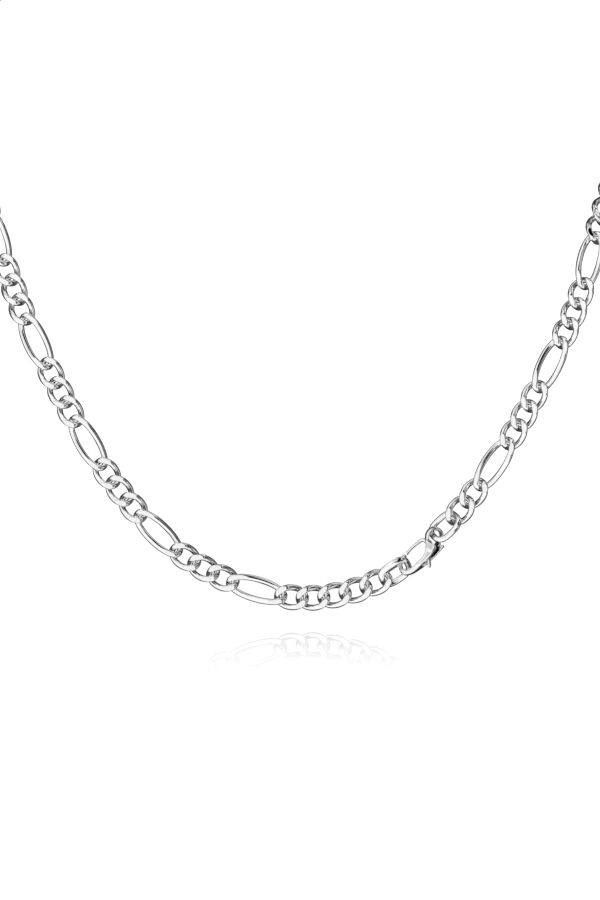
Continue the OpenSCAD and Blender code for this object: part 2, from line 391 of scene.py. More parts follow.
@dataclass
class LinkSizes:
    """Sizes of the links, in millimetres and degrees, and how finely each one is meshed.

    ring_face, side_power: extra width of one side of the ring in the claw, and how closely
    that keeps to the side's middle.
    ring_turn, twist: turn of a whole ring about its length, and of a link's ends.
    square: power of the squared ovals, where 2 is a plain one.
    gap: least clearance between two links that hold each other.
    short_run, last_run: short links between long ones, and the fewest that end the chain.
    flat, ring_flat: half the height that the file leaves. The two rings lose nothing to it.
    """

    wire: float = 1.24
    width: float = 5.2
    short_len: float = 6.99
    long_len: float = 12.65
    ring_len: float = 7.23
    ring_width: float = 6.2
    ring_face: float = 0.9
    ring_turn: float = 45.0
    twist: float = 40.0
    square: float = 2.8
    gap: float = 0.17
    short_run: int = 3
    last_run: int = 6
    flat: float = 1.35
    ring_flat: float = 1000.0
    side_power: float = 3.0
    short_rings: int = 80
    long_rings: int = 128
    wire_sides: int = 22

    def holds(self, route_len: float) -> tuple[list[LinkKind], np.ndarray]:
        """Counts the links that the route takes.

        Args:
            route_len: The route's length.

        Returns:
            Each link's kind, and where each one starts along the route.
        """
        short = self.short_len - 2 * self.wire
        long = self.long_len - 2 * self.wire
        ring = self.ring_len - 2 * self.wire
        pitch = short - self.gap
        repeat = self.short_run * pitch + long - self.gap
        even = route_len - 2 * (ring - short)
        repeats = math.floor((even - (self.last_run - 1) * pitch) / repeat)
        end_run = math.ceil((even - repeats * repeat) / pitch)
        count = repeats * (self.short_run + 1) + end_run
        kinds = []
        for i in range(count):
            in_repeats = i < repeats * (self.short_run + 1)
            long_one = in_repeats and i % (self.short_run + 1) == self.short_run
            kinds.append(LinkKind.LONG if long_one else LinkKind.SHORT)
        kinds[0], kinds[-1] = LinkKind.EYE_RING, LinkKind.CLAW_RING
        held = {LinkKind.SHORT: short, LinkKind.LONG: long, LinkKind.EYE_RING: ring,
                LinkKind.CLAW_RING: ring}
        sums = np.concatenate([[0.0], np.cumsum([held[k] for k in kinds])])
        real_gap = (sums[-1] - route_len) / count
        return kinds, sums - real_gap * np.arange(count + 1)


class LinkTree:
    """The node tree that bends the wire of each kind of link and sets one on every point."""

    def __init__(self, sizes: LinkSizes) -> None:
        """Builds the tree.

        Args:
            sizes: The sizes that its inputs start with.
        """
        self.sizes = sizes
        self.tree = bpy.data.node_groups.new("figaro_links", "GeometryNodeTree")
        self.nodes = NodeBuilder(self.tree)
        face = self.tree.interface
        face.new_socket("Geometry", in_out="INPUT", socket_type="NodeSocketGeometry")
        self.sockets: dict[str, str] = {}
        for name, value in self.defaults().items():
            kind = "NodeSocketInt" if isinstance(value, int) else "NodeSocketFloat"
            socket = face.new_socket(name, in_out="INPUT", socket_type=kind)
            socket.default_value = value
            self.sockets[name] = socket.identifier
        socket = face.new_socket("Finish", in_out="INPUT", socket_type="NodeSocketMaterial")
        self.sockets["Finish"] = socket.identifier
        face.new_socket("Geometry", in_out="OUTPUT", socket_type="NodeSocketGeometry")
        self.source = self.nodes.add("NodeGroupInput")
        self.build()

    def defaults(self) -> dict[str, float | int]:
        """The named inputs of the tree, in metres and radians, with their values."""
        s = self.sizes
        return {"Wire Diameter": s.wire * MM, "Link Width": s.width * MM,
                "Short Length": s.short_len * MM, "Long Length": s.long_len * MM,
                "Ring Length": s.ring_len * MM, "Ring Width": s.ring_width * MM,
                "Broad Side": s.ring_face * MM, "Twist": math.radians(s.twist),
                "Ring Turn": math.radians(s.ring_turn), "Squareness": s.square,
                "Flat Height": s.flat * MM, "Ring Flat Height": s.ring_flat * MM,
                "Side Power": s.side_power, "Short Rings": s.short_rings,
                "Long Rings": s.long_rings, "Wire Sides": s.wire_sides}

    def read(self, name: str) -> Socket:
        """The group's input of that name."""
        return self.source.outputs[name]

    def squared(self, part: Any, power: Any) -> Socket:
        """A sine or cosine, pushed towards the corners of a squared oval."""
        size = self.nodes.math("POWER", self.nodes.math("ABSOLUTE", part), power)
        return self.nodes.math("MULTIPLY", self.nodes.math("SIGN", part), size)

    def link(self, length: str, width: str, rings: str, turn: Any, twist: Any,
             broad: Any, flat: Any) -> Socket:
        """One closed link of wire.

        Args:
            length: The input that holds its outer length.
            width: The input that holds its outer width.
            rings: The input that holds how many wire rings go round it.
            turn: Turn of the whole link about its length.
            twist: Twist of each end.
            broad: Extra width of the side towards +Y.
            flat: Half the height that its faces are filed down to.

        Returns:
            The link's mesh.
        """
        n = self.nodes
        wire = self.read("Wire Diameter")
        circle = n.add("GeometryNodeCurvePrimitiveCircle", {"Resolution": self.read(rings),
                                                            "Radius": 1.0})
        at = n.parts(self.position())
        power = n.math("DIVIDE", 2.0, self.read("Squareness"))
        half_len = n.math("MULTIPLY", n.math("SUBTRACT", self.read(length), wire), 0.5)
        half_w = n.math("MULTIPLY", n.math("SUBTRACT", self.read(width), wire), 0.5)
        x = n.math("MULTIPLY", half_len, self.squared(at["X"], power))
        y = n.math("MULTIPLY", half_w, self.squared(at["Y"], power))
        reach = n.math("SUBTRACT", half_len, n.math("MULTIPLY", wire, 0.5))
        angle = n.math("SUBTRACT", turn, n.math("MULTIPLY", twist, n.math("DIVIDE", x, reach)))
        spot = n.joined(x, n.math("MULTIPLY", y, n.math("COSINE", angle)),
                        n.math("MULTIPLY", y, n.math("SINE", angle)))
        side = n.math("POWER", n.math("MAXIMUM", at["Y"], 0.0), self.read("Side Power"))
        curve = self.noted(circle.outputs["Curve"], "side", side, "FLOAT")
        curve = self.moved(curve, Position=spot)
        curve = self.noted(curve, "middle", self.position(), "FLOAT_VECTOR")
        tangent = n.add("GeometryNodeInputTangent").outputs[0]
        curve = self.noted(curve, "way", tangent, "FLOAT_VECTOR")
        section = n.add("GeometryNodeCurvePrimitiveCircle", {
            "Resolution": self.read("Wire Sides"), "Radius": n.math("MULTIPLY", wire, 0.5)})
        tube = n.add("GeometryNodeCurveToMesh", {"Curve": curve,
                                                 "Profile Curve": section.outputs["Curve"]})
        return self.filed(self.broadened(tube.outputs["Mesh"], turn, broad, wire), flat)

    def position(self) -> Socket:
        """Reads the place of each point."""
        return self.nodes.add("GeometryNodeInputPosition").outputs[0]

    def moved(self, geometry: Any, **inputs: Any) -> Socket:
        """Moves the points to a Position or by an Offset, and returns the geometry."""
        return self.nodes.add("GeometryNodeSetPosition",
                              {"Geometry": geometry, **inputs}).outputs[0]

    def noted(self, geometry: Any, name: str, value: Any, data_type: str) -> Socket:
        """Stores a value on each point under a name, and returns the geometry."""
        return self.nodes.add("GeometryNodeStoreNamedAttribute", {
            "Geometry": geometry, "Name": name, "Value": value},
            data_type=data_type, domain="POINT").outputs[0]

    def named(self, name: str, data_type: str) -> Socket:
        """Reads a stored attribute."""
        node = self.nodes.add("GeometryNodeInputNamedAttribute", {"Name": name},
                              data_type=data_type)
        return self.nodes.live(node.outputs, "Attribute")

    def broadened(self, mesh: Any, turn: Any, broad: Any, wire: Any) -> Socket:
        """Widens the wire inwards along one side.

        Args:
            mesh: The link's mesh.
            turn: Turn of the whole link about its length.
            broad: Extra width at the side's middle.
            wire: The wire's diameter.

        Returns:
            The widened mesh.
        """
        n = self.nodes
        middle = self.named("middle", "FLOAT_VECTOR")
        normal = n.joined(0.0, n.math("MULTIPLY", n.math("SINE", turn), -1.0),
                          n.math("COSINE", turn))
        out = n.vector("CROSS_PRODUCT", self.named("way", "FLOAT_VECTOR"), normal)
        away = n.vector("SUBTRACT", self.position(), middle)
        reach = n.vector("DOT_PRODUCT", away, out, "Value")
        extra = n.math("MULTIPLY", broad, self.named("side", "FLOAT"))
        shift = n.math("SUBTRACT", n.math("DIVIDE", n.math("MULTIPLY", reach, extra), wire),
                       n.math("MULTIPLY", extra, 0.5))
        return self.moved(mesh, Offset=n.scaled(out, shift))

    def filed(self, mesh: Any, flat: Any) -> Socket:
        """Files both faces of a link flat.

        Args:
            mesh: The link's mesh.
            flat: Half the height that is left.

        Returns:
            The filed mesh.
        """
        n = self.nodes
        at = n.parts(self.position())
        low = n.math("MULTIPLY", flat, -1.0)
        height = n.math("MAXIMUM", n.math("MINIMUM", at["Z"], flat), low)
        return self.moved(mesh, Position=n.joined(at["X"], at["Y"], height))

    def build(self) -> None:
        """Joins the kinds of link, sets them on the points and makes them real."""
        n, none = self.nodes, 0.0
        twisted = none, self.read("Twist"), none, self.read("Flat Height")
        turn, unfiled = self.read("Ring Turn"), self.read("Ring Flat Height")
        back = n.math("MULTIPLY", turn, -1.0)
        ring = "Ring Length", "Ring Width", "Short Rings"
        shapes = {
            LinkKind.SHORT: self.link("Short Length", "Link Width", "Short Rings", *twisted),
            LinkKind.LONG: self.link("Long Length", "Link Width", "Long Rings", *twisted),
            LinkKind.CLAW_RING: self.link(*ring, turn, none, self.read("Broad Side"), unfiled),
            LinkKind.EYE_RING: self.link(*ring, back, none, none, unfiled)}
        placed = []
        index = self.named("kind", "INT")
        for kind, mesh in shapes.items():
            chosen = n.add("FunctionNodeCompare", data_type="INT", operation="EQUAL")
            ints = [s for s in chosen.inputs if s.type == "INT"]
            n.feed(ints[0], index)
            n.feed(ints[1], kind.value)
            placed.append(n.add("GeometryNodeInstanceOnPoints", {
                "Points": self.source.outputs["Geometry"], "Selection": chosen.outputs[0],
                "Instance": mesh, "Rotation": self.named("turn", "QUATERNION")}).outputs[0])
        joined = n.add("GeometryNodeJoinGeometry")
        for part in placed:
            self.tree.links.new(part, joined.inputs[0])
        real = n.add("GeometryNodeRealizeInstances", {"Geometry": joined.outputs[0]})
        smooth = n.add("GeometryNodeSetShadeSmooth", {"Geometry": real.outputs[0]})
        dressed = n.add("GeometryNodeSetMaterial", {"Geometry": smooth.outputs[0],
                                                    "Material": self.read("Finish")})
        n.add("NodeGroupOutput", {"Geometry": dressed.outputs[0]})


@dataclass
class Chain:
    """The loop of links: two long runs, and the plain ring at each end."""

    sizes: LinkSizes = field(default_factory=LinkSizes)
    route: Route = field(default_factory=Route)

    def placements(self) -> list[Placement]:
        """Where every link lies, from the clasp's eye round to its claw.

        Returns:
            One placement a link, in metres.
        """
        points = self.route.smoothed()
        runs = np.concatenate([[0.0], np.cumsum(
            np.linalg.norm(np.diff(points[:, :3], axis=0), axis=1))])
        kinds, starts = self.sizes.holds(float(runs[-1]))

        def at(run: float, column: int) -> float:
            """One value of the route, that far along it."""
            return float(np.interp(run, runs, points[:, column]))

        out = []
        for i, kind in enumerate(kinds):
            start = Vector([at(starts[i], c) for c in range(3)])
            end = Vector([at(starts[i + 1], c) for c in range(3)])
            facing = math.radians(at((starts[i] + starts[i + 1]) / 2, 3))
            along = (end - start).normalized()
            flat = Vector((math.sin(facing), -math.cos(facing), 0.0))
            face = (flat - flat.dot(along) * along).normalized()
            side = face.cross(along)
            turn = Matrix((along, side, face)).transposed().to_quaternion()
            out.append(Placement((start + end) / 2 * MM, turn, kind))
        return out

    def points_mesh(self, name: str, placements: Sequence[Placement]) -> Mesh:
        """A mesh of loose points that the node tree sets links on.

        Args:
            name: The mesh's name.
            placements: The links' places.

        Returns:
            The mesh, with each point's turn and kind.
        """
        mesh = bpy.data.meshes.new(name)
        mesh.from_pydata([p.middle for p in placements], [], [])
        mesh.attributes.new("turn", "QUATERNION", "POINT")
        mesh.attributes.new("kind", "INT", "POINT")
        for i, p in enumerate(placements):
            mesh.attributes["turn"].data[i].value = p.turn
            mesh.attributes["kind"].data[i].value = p.kind.value
        return mesh

    def run(self, tree: LinkTree, name: str, placements: Sequence[Placement], node: str,
            slot: str, finish: Silver) -> bpy.types.Object:
        """Makes one run of links as a plain mesh.

        Args:
            tree: The node tree of the links.
            name: The new piece's name.
            placements: The links' places.
            node: The solid that the piece stands for.
            slot: A material slot's name, which is not used.
            finish: The silver it is made of.

        Returns:
            The finished piece.
        """
        piece = new_object(name, self.points_mesh(name, placements))
        bender = piece.modifiers.new("links", "NODES")
        bender.node_group = tree.tree
        bender[tree.sockets["Finish"]] = finish.value.material()
        bake_in_place(piece)
        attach(piece, "necklace")
        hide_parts(node)
        log.info("%s: %d links, %d faces", name, len(placements), len(piece.data.polygons))
        return piece

    def build(self) -> None:
        """Makes the four pieces of the chain."""
        tree = LinkTree(self.sizes)
        places = self.placements()
        middle = len(places) // 2
        self.run(tree, "links_right", places[1:middle], "chain_right", "chain", Silver.WIRE)
        self.run(tree, "links_left", places[middle:-1], "chain_left", "chain", Silver.WIRE)
        self.run(tree, "claw_ring", places[-1:], "end_link", "ring", Silver.RING)
        self.run(tree, "eye_ring", places[:1], "clasp_link", "ring", Silver.RING)


# -------- the clasp


@dataclass(frozen=True)
class ClaspShape:
    """The clasp's outlines and roundings, in millimetres and degrees.

    It lies in its own plane: across is towards its spine, along towards its eye, and out towards
    the viewer. The outlines and the eye are those of the solids.
    """

    body: Outline = (
        (-2.85, -6), (-2.8, -6.9), (-2.62, -7.75), (-2.08, -8.27), (-1.25, -8.3), (-0.6, -7.85),
        (-0.12, -6.95), (0.25, -5.9), (0.55, -4.9), (0.65, -4), (0.5, -3.1), (0.1, -2.35),
        (-0.45, -1.65), (-1, -1), (-1.6, -0.4), (-1.5, 0.1), (0, 0.2), (1.6, 0.2), (1.9, -0.3),
        (2.1, -1.2), (2.18, -2.2), (2.1, -3.2), (1.85, -4.3), (1.5, -5.5), (1.1, -6.7),
        (0.6, -7.9), (-0.15, -8.85), (-1.1, -9.42), (-2.1, -9.15), (-2.95, -8.45), (-3.42, -7.5),
        (-3.58, -6.6), (-3.52, -6), (-3.2, -5.8))
    shoulder: Outline = (
        (1.2, -3.2), (2.1, -3.2), (2.4, -2), (2.6, -0.9), (2.5, -0.1), (1.9, -0.35), (1.3, -1.2))
    lever: Outline = (
        (0.2, -1.12), (-0.75, -1.05), (-1.6, -0.95), (-2.05, -1.35), (-2.55, -2.5), (-2.9, -3.7),
        (-3.2, -4.9), (-3.5, -6.3), (-2.75, -6.3), (-2.68, -4.9), (-2.4, -3.7), (-2, -2.6),
        (-1.5, -1.75), (-0.75, -1.8), (-0.1, -2.25), (0.4, -2.75), (0.9, -3.4), (1.5, -4.3),
        (2.15, -5.2), (2.65, -5.42), (2.95, -5.05), (2.45, -4.35), (1.75, -3.5), (1.2, -2.6),
        (0.85, -1.9), (0.68, -1.35))
    steps: int = 4
    pivot: Pair = (0.2, -1.75)
    lever_reach: float = 5.0
    lever_tip: float = 4.9
    slot: Pair = (-5.8, -0.85)
    slot_half: float = 0.58
    slot_blend: float = 2.0
    eye_at: float = 0.48
    eye_turn: float = 50.0
    eye_radius: float = 1.9
    hole_radius: float = 1.2
    eye_half: float = 0.6
    eye_edge: float = 0.4
    eye_slack: float = 0.04
    eye_blend: Pair = (-1.0, -0.3)
    cheek: float = 0.55
    cheek_edge: float = 0.25
    claw: float = 0.8
    claw_edge: float = 0.4
    bar: float = 0.42
    bar_edge: float = 0.2
    hollow: float = 0.24
    hollow_rim: Pair = (0.22, 0.54)
    hollow_foot: Pair = (-6.2, -5.2)
    hollow_top: Pair = (-2.9, -2.2)
    # Painted shade on the slot's walls: where it starts inside the outline, its fade along, and
    # its fade out to the faces.
    shade_rim: Pair = (0.3, 0.5)
    shade_blend: float = 0.8
    shade_walls: Pair = (0.03, 0.12)

    def closed(self, rows: Outline) -> np.ndarray:
        """Draws a smooth closed outline through the rows, as the solids' source does.

        Args:
            rows: Rows of across and along.

        Returns:
            The outline's points.
        """
        table, out = np.array(rows, float), []
        for i in range(len(table)):
            around = [table[(i + k) % len(table)] for k in (-1, 0, 1, 2)]
            out += [between(*around, k / self.steps) for k in range(self.steps)]
        return np.array(out)

    def inside(self, spots: np.ndarray, rows: Outline) -> np.ndarray:
        """How far inside an outline each spot lies.

        Args:
            spots: Rows of across and along.
            rows: The outline.

        Returns:
            The distances, which are 0 outside it.
        """
        outline = self.closed(rows)
        nearest, within = np.full(len(spots), np.inf), np.zeros(len(spots), bool)
        for a, b in zip(outline, np.roll(outline, -1, axis=0)):
            way = b - a
            share = np.clip((spots - a) @ way / (way @ way), 0.0, 1.0)
            off = np.linalg.norm(spots - a - share[:, None] * way, axis=1)
            nearest = np.minimum(nearest, off)
            if a[1] != b[1]:
                level = (a[1] > spots[:, 1]) != (b[1] > spots[:, 1])
                within ^= level & (spots[:, 0] < a[0] + (spots[:, 1] - a[1]) / way[1] * way[0])
        return np.where(within, nearest, 0.0)

    @staticmethod
    def step(value: np.ndarray, low: float, high: float) -> np.ndarray:
        """0 below one value and 1 above another, with a smooth step between."""
        share = np.clip((value - low) / (high - low), 0.0, 1.0)
        return share * share * (3 - 2 * share)

    @staticmethod
    def domed(depth: np.ndarray, radius: float) -> np.ndarray:
        """The height of a round edge, from 0 at the outline to 1 where the edge ends."""
        return np.sqrt(1 - (1 - np.minimum(depth, radius) / radius) ** 2)

    def rounded_body(self, spots: np.ndarray) -> np.ndarray:
        """Rounds the body: its cheeks, its claw and the eye, and hollows its face.

        Args:
            spots: Rows of across, along and out.

        Returns:
            The moved rows.
        """
        along, out = spots[:, 1], spots[:, 2]
        deep = self.inside(spots[:, :2], self.body)
        far = self.inside(spots[:, :2], self.shoulder)
        deep = np.where(out < 0, np.maximum(deep, far), deep)
        slotted = self.step(along, self.slot[0] - self.slot_blend, self.slot[0])
        cheek = self.cheek_edge + (1 - self.cheek_edge) * self.domed(deep, self.cheek)
        rest = np.minimum(np.abs(out), self.slot_half)
        as_cheek = rest + (np.abs(out) - rest) * cheek
        window = self.step(along, *self.hollow_foot) * (1 - self.step(along, *self.hollow_top))
        dish = self.hollow * window * self.step(deep, *self.hollow_rim)
        as_cheek = np.where(as_cheek > self.slot_half + self.hollow, as_cheek - dish, as_cheek)
        as_claw = np.abs(out) * (self.claw_edge + (1 - self.claw_edge)
                                 * self.domed(deep, self.claw))
        height = slotted * as_cheek + (1 - slotted) * as_claw
        moved = spots.copy()
        moved[:, 2] = np.sign(out) * height
        upper = self.step(along, *self.eye_blend)[:, None]
        return moved * (1 - upper) + self.rounded_eye(spots) * upper

    def rounded_eye(self, spots: np.ndarray) -> np.ndarray:
        """Rounds the edges of the eye, which is turned out of the body's plane.

        Args:
            spots: Rows of across, along and out.

        Returns:
            The moved rows.
        """
        turn = math.radians(self.eye_turn)
        wide = spots[:, 0] * math.cos(turn) - spots[:, 2] * math.sin(turn)
        high = spots[:, 0] * math.sin(turn) + spots[:, 2] * math.cos(turn)
        reach = np.hypot(wide, spots[:, 1] - self.eye_at)
        rim = (self.eye_radius - self.hole_radius) / 2
        deep = np.clip(np.minimum(self.eye_radius - reach, reach - self.hole_radius), 0.0, rim)
        share = self.eye_edge + (1 - self.eye_edge) * self.domed(deep, rim)
        part = ((reach < self.eye_radius + self.eye_slack)
                & (np.abs(high) < self.eye_half + self.eye_slack))
        high = np.where(part, high * share, high)
        return np.stack([wide * math.cos(turn) + high * math.sin(turn), spots[:, 1],
                         high * math.cos(turn) - wide * math.sin(turn)], axis=1)

    def rounded_lever(self, spots: np.ndarray) -> np.ndarray:
        """Rounds the lever to a bar, and trims its tip to clear the ring in the claw.

        Args:
            spots: Rows of across, along and out.

        Returns:
            The moved rows.
        """
        deep = self.inside(spots[:, :2], self.lever)
        away = spots[:, :2] - np.array(self.pivot)
        reach = np.linalg.norm(away, axis=1)
        deep = np.clip(np.minimum(deep, self.lever_reach - reach), 0.0, None)
        moved = spots.copy()
        moved[:, 2] *= self.bar_edge + (1 - self.bar_edge) * self.domed(deep, self.bar)
        moved[:, :2] -= away * (np.maximum(reach - self.lever_tip, 0.0) / reach)[:, None]
        return moved

    def slot_shade(self, spots: np.ndarray) -> np.ndarray:
        """How much shade is painted on each spot: on the slot's walls, behind their bright rims.

        Args:
            spots: Rows of across, along and out.

        Returns:
            Numbers from 0 to 1.
        """
        along, out = spots[:, 1], np.abs(spots[:, 2])
        deep = np.maximum(self.inside(spots[:, :2], self.body),
                          self.inside(spots[:, :2], self.shoulder))
        window = self.step(along, self.slot[0], self.slot[0] + self.shade_blend)
        walls = 1 - self.step(out - self.slot_half, *self.shade_walls)
        return window * walls * self.step(deep, *self.shade_rim)

    @staticmethod
    def unmoved(spots: np.ndarray) -> np.ndarray:
        """Leaves a piece as it is."""
        return spots


@dataclass
class CastPiece:
    """A small casting, rounded off as tumbling leaves it. Its voxel is in millimetres."""

    name: str
    node: str
    body: str
    slot: str
    finish: Silver
    voxel: float
    rounds: int
    rounding: Callable[[np.ndarray], np.ndarray]
    # How much shade is painted on each spot.
    slot_shade: Callable[[np.ndarray], np.ndarray]
    softness: float = 0.5
    route: Route = field(default_factory=Route)

    def gridded(self, mesh: Mesh, rounds: int) -> Mesh:
        """Covers a shape with an even grid of faces, and softens it.

        Args:
            mesh: The closed shape.
            rounds: How many times the grid is softened.

        Returns:
            A new mesh.
        """
        piece = new_object(self.name, mesh)
        grid = piece.modifiers.new("grid", "REMESH")
        grid.mode, grid.voxel_size, grid.use_smooth_shade = "VOXEL", self.voxel * MM, True
        soft = piece.modifiers.new("soft", "SMOOTH")
        soft.factor, soft.iterations = self.softness, rounds
        made = baked(piece)
        bpy.data.objects.remove(piece)
        return made

    def axes(self) -> tuple[np.ndarray, np.ndarray]:
        """The clasp's origin, and its three directions as rows."""
        origin = self.route.clasp_point(0.0, 0.0)
        return origin, np.array([self.route.clasp_point(*row) for row in np.eye(3)]) - origin

    def spots(self, mesh: Mesh) -> np.ndarray:
        """Reads where a mesh's vertices are, as seen from the clasp.

        Args:
            mesh: The mesh, in metres.

        Returns:
            Rows of across, along and out, in millimetres.
        """
        origin, ways = self.axes()
        flat = np.empty(len(mesh.vertices) * 3)
        mesh.vertices.foreach_get("co", flat)
        return (flat.reshape(-1, 3) / MM - origin) @ ways.T

    def reshape(self, mesh: Mesh) -> None:
        """Moves a mesh's vertices as the rounding asks.

        Args:
            mesh: The mesh, in metres.
        """
        origin, ways = self.axes()
        moved = (self.rounding(self.spots(mesh)) @ ways + origin) * MM
        mesh.vertices.foreach_set("co", moved.ravel())
        mesh.update()

    def build(self, frame: dict[str, Any]) -> bpy.types.Object:
        """Rounds the solid's edges and dresses it.

        Args:
            frame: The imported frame.

        Returns:
            The finished piece.
        """
        mesh = frame["nodes"][self.node].data.copy()
        shape = bmesh.new()
        shape.from_mesh(mesh)
        bmesh.ops.remove_doubles(shape, verts=shape.verts, dist=SAME_SPOT)
        shape.to_mesh(mesh)
        shape.free()
        mesh = self.gridded(mesh, 1)
        self.reshape(mesh)
        mesh = self.gridded(mesh, self.rounds)
        mesh.name = self.name
        # Painted shade: stores how dark the slot's walls are painted, for the finish to darken
        # them.
        painted_shade = mesh.attributes.new("painted_shade", "FLOAT", "POINT")
        painted_shade.data.foreach_set("value", self.slot_shade(self.spots(mesh)))
        mesh.materials.clear()
        mesh.materials.append(self.finish.value.material())
        mesh.shade_smooth()
        piece = new_object(self.name, mesh)
        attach(piece, self.body)
        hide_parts(self.node)
        log.info("%s: %d faces", self.name, len(piece.data.polygons))
        return piece


@dataclass
class Clasp:
    """The lobster clasp: its cast body, the sprung lever and the pin that the lever turns on."""

    shape: ClaspShape = field(default_factory=ClaspShape)

    def build(self, frame: dict[str, Any]) -> None:
        """Makes the clasp's pieces.

        Args:
            frame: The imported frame.
        """
        shape = self.shape
        CastPiece("claw_body", "clasp_body", "necklace", "clasp", Silver.CAST, voxel=0.06,
                  rounds=6, rounding=shape.rounded_body, slot_shade=shape.slot_shade).build(frame)
        CastPiece("claw_lever", "clasp_lever", "lever", "lever", Silver.LEVER, voxel=0.04,
                  rounds=5, rounding=shape.rounded_lever, slot_shade=shape.slot_shade).build(frame)
        CastPiece("claw_pin", "clasp_pin", "necklace", "pin", Silver.CAST, voxel=0.03,
                  rounds=2, rounding=shape.unmoved, slot_shade=shape.slot_shade).build(frame)


# -------- the studio


@dataclass
class Studio:
    """The pale floor, the soft surround that the silver mirrors, and the camera.

    Lengths are in millimetres, apart from the floor's reach and its shine, in metres. Directions
    are in degrees to the right of the camera and above it, as seen from the necklace.

    side_reach: how much faster the light falls off to the sides of the bright way.
    base_stops: angle from the bright way, and grey there.
    cards: direction of each black card's two ends, and half its width.
    card_soft, card_dark: width of the black cards' edges, and the share of light they take.
    arch_away, arch_turn: where the black arch lies, away from its middle and round it.
    walls: direction of each soft patch, half its width, the width of its edge, and its grey.
    shine_front, shine_back, shine_side: where the floor's reflection has gone, and is whole.
    """

    floor_z: float = -134.1
    floor_half: float = 6.0
    floor_grey: float = 0.12
    floor_glow: float = 0.99
    floor_gloss: Pair = (0.12, 0.2)
    floor_cloud: float = 40.0
    camera_far: float = 2000.0
    front_y: float = -86.0
    middle_z: float = -99.8
    frame_tall: float = 180.0
    sensor: float = 36.0
    clip: Pair = (0.01, 50.0)
    backdrop: float = 1.2
    bright_way: Pair = (-5.0, -3.0)
    side_reach: float = 1.6
    base_stops: Outline = (
        (0, 0.93), (22, 0.97), (40, 1.05), (83, 1.03), (93, 0.1), (125, 0.03), (180, 0.03))
    cards: tuple[tuple[float, float, float, float, float], ...] = (
        (64, 2, 67, 26, 11), (50, -20, 58, -28, 11), (38, 56, 62, 58, 11))
    card_soft: float = 4.0
    card_dark: float = 0.995
    arch_middle: Pair = (0.0, 11.0)
    arch_away: Pair = (27.0, 49.0)
    arch_turn: Pair = (-45.0, 108.0)
    walls: tuple[tuple[float, float, float, float, float], ...] = (
        (128, -5, 20, 14, 0.2), (180, 2, 9, 6, 1.0),
        (-43, 26, 13, 14, 0.6), (118, 60, 17, 14, 0.92), (-120, 64, 14, 12, 0.85))
    shine: float = 0.4
    shine_front: Pair = (-0.6, -0.1)
    shine_back: Pair = (0.1, -0.05)
    shine_side: Pair = (0.15, 0.04)

    def floor(self) -> None:
        """Lays the floor, which mirrors faintly what is just above it."""
        mesh = bpy.data.meshes.new("floor")
        h, z = self.floor_half, self.floor_z * MM
        mesh.from_pydata([(-h, -h, z), (h, -h, z), (h, h, z), (-h, h, z)], [], [(0, 1, 2, 3)])
        made = bpy.data.materials.new("pale_floor")
        nodes = NodeBuilder.on(made)
        place = nodes.add("ShaderNodeTexCoord").outputs["Object"]
        cloud = nodes.add("ShaderNodeTexNoise", {"Vector": place, "Scale": self.floor_cloud})
        rough = nodes.ranged(cloud.outputs["Fac"], UNIT, self.floor_gloss)
        skin = nodes.add("ShaderNodeBsdfPrincipled", {
            "Base Color": (*(self.floor_grey,) * 3, 1.0), "Roughness": rough,
            "Specular IOR Level": 0.0,
            "Emission Color": WHITE, "Emission Strength": self.floor_glow})
        at = nodes.parts(place)
        low = nodes.add("ShaderNodeLayerWeight").outputs["Facing"]
        share = nodes.math("MULTIPLY", low, self.shine)
        for value, window in ((at["Y"], self.shine_front), (at["Y"], self.shine_back),
                              (nodes.math("ABSOLUTE", at["X"]), self.shine_side)):
            share = nodes.math("MULTIPLY", share, nodes.ranged(value, window, UNIT))
        mirror = nodes.add("ShaderNodeBsdfGlossy", {"Color": WHITE, "Roughness": 0.0})
        mixed = nodes.add("ShaderNodeMixShader", {0: share, 1: skin.outputs["BSDF"],
                                                  2: mirror.outputs["BSDF"]})
        nodes.add("ShaderNodeOutputMaterial", {"Surface": mixed.outputs[0]})
        mesh.materials.append(made)
        ground = new_object("floor", mesh)
        ground.visible_glossy = False

    @staticmethod
    def towards(right: float, up: float) -> Vector:
        """The direction so many degrees to the right of the camera, and above it."""
        return Vector((math.sin(math.radians(right)) * math.cos(math.radians(up)),
                       -math.cos(math.radians(right)) * math.cos(math.radians(up)),
                       math.sin(math.radians(up))))

    def surround(self) -> None:
        """Lights the scene with a white tent that is dark behind, with black cards in it."""
        world = bpy.data.worlds.new("studio")
        bpy.context.scene.world = world
        nodes = NodeBuilder.on(world)
        way = nodes.add("ShaderNodeTexCoord").outputs["Generated"]
        wide = nodes.vector("NORMALIZE", nodes.vector(
            "MULTIPLY", way, (self.side_reach, 1.0, 1.0)), (0.0, 0.0, 0.0))
        front = nodes.vector("DOT_PRODUCT", wide, self.towards(*self.bright_way), "Value")
        away = nodes.math("DIVIDE", nodes.math("ARCCOSINE", front), math.pi)
        base = self.ramp(nodes, away, self.base_stops)
        for right, up, half, soft, grey in self.walls:
            off = nodes.vector("DISTANCE", way, self.towards(right, up), "Value")
            wall = self.fall(nodes, off, half, soft)
            base = nodes.blended(wall, base, (grey, grey, grey))
        light = self.arch(nodes, way)
        for *ends, half in self.cards:
            start, end = self.towards(*ends[:2]), self.towards(*ends[2:])
            light = nodes.math("MINIMUM", light, self.card(nodes, way, start, end, half))
        glow = nodes.add("ShaderNodeBackground", {"Color": base, "Strength": light})
        seen = nodes.add("ShaderNodeBackground", {"Color": WHITE, "Strength": self.backdrop})
        eye = nodes.add("ShaderNodeLightPath").outputs["Is Camera Ray"]
        mixed = nodes.add("ShaderNodeMixShader", {0: eye, 1: glow.outputs[0], 2: seen.outputs[0]})
        nodes.add("ShaderNodeOutputWorld", {"Surface": mixed.outputs[0]})

